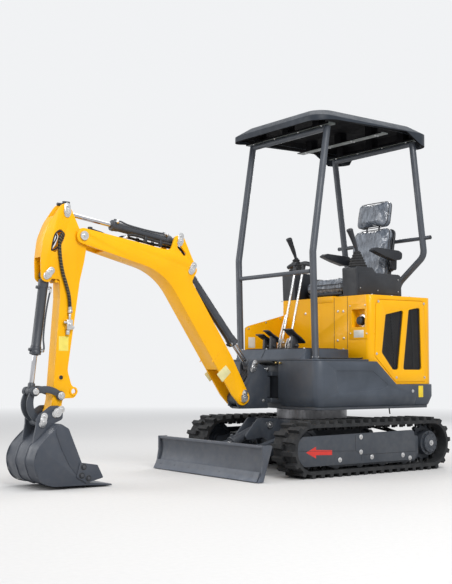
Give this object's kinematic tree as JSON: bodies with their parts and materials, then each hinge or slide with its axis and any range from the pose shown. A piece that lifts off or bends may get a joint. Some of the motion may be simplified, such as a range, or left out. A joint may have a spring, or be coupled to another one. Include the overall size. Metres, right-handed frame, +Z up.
{
  "type": "mini excavator",
  "caption": "Compact tracked excavator with rubber tracks, slewing house, open canopy, swing post, boom, arm, bucket and dozer blade; its joints move.",
  "frame": {"origin": "on the ground under the slew axis", "axes": "+X forward towards the boom, +Y to the operator's left, +Z up"},
  "size_m": [2.8565, 1.1, 2.303],
  "materials": {
    "rubber": "matt black rubber",
    "dark_steel": "satin anthracite paint",
    "bare_steel": "oiled steel",
    "ram_paint": "satin dark grey paint",
    "chrome": "hard chrome",
    "zinc": "zinc plate",
    "dark_moulding": "grained dark grey moulding",
    "yellow_paint": "gloss golden yellow paint",
    "black_mesh": "black perforated sheet",
    "engine_metal": "cast",
    "floor_paint": "black textured paint",
    "seat_fabric": "black seat cover under clear film",
    "grip_plastic": "black grip moulding",
    "lever_steel": "bright steel",
    "tube_paint": "satin grey paint",
    "roof_plastic": "dark blue-grey moulding"
  },
  "bodies": {
    "undercarriage": {"car_body": "dark_steel", "slew_ring": "bare_steel", "track_frames": "dark_steel", "track_covers": "dark_steel", "track_belt_left": "rubber", "track_belt_right": "rubber", "idlers": "dark_steel", "drive_sprockets": "dark_steel", "rollers": "dark_steel", "blade_pins": "zinc"},
    "blade": {"blade": "dark_steel", "blade_arms": "dark_steel", "blade_eye_pins": "zinc"},
    "blade_ram_barrel": {"blade_cylinder_barrel": "ram_paint"},
    "blade_ram_rod": {"blade_cylinder_rod": "chrome"},
    "house": {"house_frame": "dark_steel", "skirt_left": "dark_moulding", "skirt_right": "dark_moulding", "counterweight": "dark_steel", "hood_shell": "yellow_paint", "hood_panel_left": "yellow_paint", "hood_panel_right": "yellow_paint", "side_meshes": "black_mesh", "engine_block": "engine_metal", "side_tank": "yellow_paint", "floor_pan": "floor_paint", "seat_base": "floor_paint", "seat_cushion": "seat_fabric", "seat_back": "seat_fabric", "armrests": "dark_moulding", "console_left": "dark_moulding", "console_right": "dark_moulding", "joysticks": "grip_plastic", "travel_levers": "lever_steel", "pedals": "dark_moulding", "canopy_frame": "tube_paint", "canopy_roof": "roof_plastic"},
    "rear_door": {"rear_door": "yellow_paint"},
    "swing_post": {"swing_post": "dark_steel", "post_pins": "zinc"},
    "boom": {"boom": "yellow_paint", "boom_pins": "zinc"},
    "boom_ram_barrel": {"boom_cylinder_barrel": "ram_paint"},
    "boom_ram_rod": {"boom_cylinder_rod": "chrome"},
    "arm": {"arm": "yellow_paint", "arm_pins": "zinc"},
    "arm_ram_barrel": {"arm_cylinder_barrel": "ram_paint"},
    "arm_ram_rod": {"arm_cylinder_rod": "chrome"},
    "bucket_ram_barrel": {"bucket_cylinder_barrel": "ram_paint"},
    "bucket_ram_rod": {"bucket_cylinder_rod": "chrome"},
    "tipping_levers": {"tipping_levers": "dark_steel"},
    "bucket": {"bucket": "dark_steel", "bucket_pins": "zinc"},
    "bucket_link": {"bucket_link": "dark_steel"}
  },
  "joints": [
    {"name": "slew", "type": "hinge", "parent": "undercarriage", "child": "house", "pos_m": [0, 0, 0.39], "axis": [0, 0, 1], "continuous": true},
    {"name": "boom_swing", "type": "hinge", "parent": "house", "child": "swing_post", "pos_m": [0.405, 0, 0.536], "axis": [0, 0, 1], "range_deg": [-50, 50]},
    {"name": "boom_lift", "type": "hinge", "parent": "swing_post", "child": "boom", "pos_m": [0.627, 0, 0.472], "axis": [0, -1, 0], "range_deg": [-60, 30]},
    {"name": "boom_ram_tilt", "type": "hinge", "parent": "boom", "child": "boom_ram_barrel", "pos_m": [1.028, 0, 1.253], "axis": [0, -1, 0], "range_deg": [-4, 4]},
    {"name": "boom_ram_stroke", "type": "slide", "parent": "boom_ram_barrel", "child": "boom_ram_rod", "axis": [-0.6392, 0, -0.7691], "range_m": [-0.1, 0.2]},
    {"name": "arm_crowd", "type": "hinge", "parent": "boom", "child": "arm", "pos_m": [1.773, 0, 1.4], "axis": [0, 1, 0], "range_deg": [-75, 33]},
    {"name": "arm_ram_tilt", "type": "hinge", "parent": "boom", "child": "arm_ram_barrel", "pos_m": [1.115, 0, 1.422], "axis": [0, 1, 0], "range_deg": [-8, 8]},
    {"name": "arm_ram_stroke", "type": "slide", "parent": "arm_ram_barrel", "child": "arm_ram_rod", "axis": [0.9897, 0, 0.1431], "range_m": [-0.18, 0.08]},
    {"name": "bucket_curl", "type": "hinge", "parent": "arm", "child": "bucket", "pos_m": [1.93, 0, 0.409], "axis": [0, 1, 0], "range_deg": [-65, 110]},
    {"name": "lever_tilt", "type": "hinge", "parent": "arm", "child": "tipping_levers", "pos_m": [1.899, 0, 0.5], "axis": [0, 1, 0], "range_deg": [-37, 63]},
    {"name": "link_tilt", "type": "hinge", "parent": "bucket", "child": "bucket_link", "pos_m": [2.015, 0, 0.36], "axis": [0, 1, 0], "range_deg": [-60, 36]},
    {"name": "bucket_ram_tilt", "type": "hinge", "parent": "arm", "child": "bucket_ram_barrel", "pos_m": [1.983, 0, 1.17], "axis": [0, 1, 0], "range_deg": [-3, 3]},
    {"name": "bucket_ram_stroke", "type": "slide", "parent": "bucket_ram_barrel", "child": "bucket_ram_rod", "axis": [0.1092, 0, -0.994], "range_m": [-0.09, 0.155]},
    {"name": "blade_lift", "type": "hinge", "parent": "undercarriage", "child": "blade", "pos_m": [0.38, 0, 0.185], "axis": [0, -1, 0], "range_deg": [-15, 20]},
    {"name": "blade_ram_tilt", "type": "hinge", "parent": "undercarriage", "child": "blade_ram_barrel", "pos_m": [0.41, 0, 0.296], "axis": [0, -1, 0], "range_deg": [-16, 21]},
    {"name": "blade_ram_stroke", "type": "slide", "parent": "blade_ram_barrel", "child": "blade_ram_rod", "axis": [0.9295, 0, -0.3688], "range_m": [-0.041, 0.031]},
    {"name": "rear_door_hinge", "type": "hinge", "parent": "house", "child": "rear_door", "pos_m": [-0.673, 0.306, 0.825], "axis": [0, 0, -1], "range_deg": [0, 100]}
  ],
  "couplings": [
    {"joint": "boom_ram_tilt", "follows": "boom_lift", "ratio": 0.03468},
    {"joint": "boom_ram_stroke", "follows": "boom_lift", "m_per_rad": -0.18154},
    {"joint": "arm_ram_tilt", "follows": "arm_crowd", "ratio": 0.09018},
    {"joint": "arm_ram_stroke", "follows": "arm_crowd", "m_per_rad": 0.13359},
    {"joint": "lever_tilt", "follows": "bucket_curl", "ratio": 0.56602},
    {"joint": "link_tilt", "follows": "bucket_curl", "ratio": -0.5419},
    {"joint": "bucket_ram_tilt", "follows": "bucket_curl", "ratio": 0.01971},
    {"joint": "bucket_ram_stroke", "follows": "bucket_curl", "m_per_rad": 0.07856},
    {"joint": "blade_ram_tilt", "follows": "blade_lift", "ratio": 0.97941},
    {"joint": "blade_ram_stroke", "follows": "blade_lift", "m_per_rad": -0.11315}
  ]
}
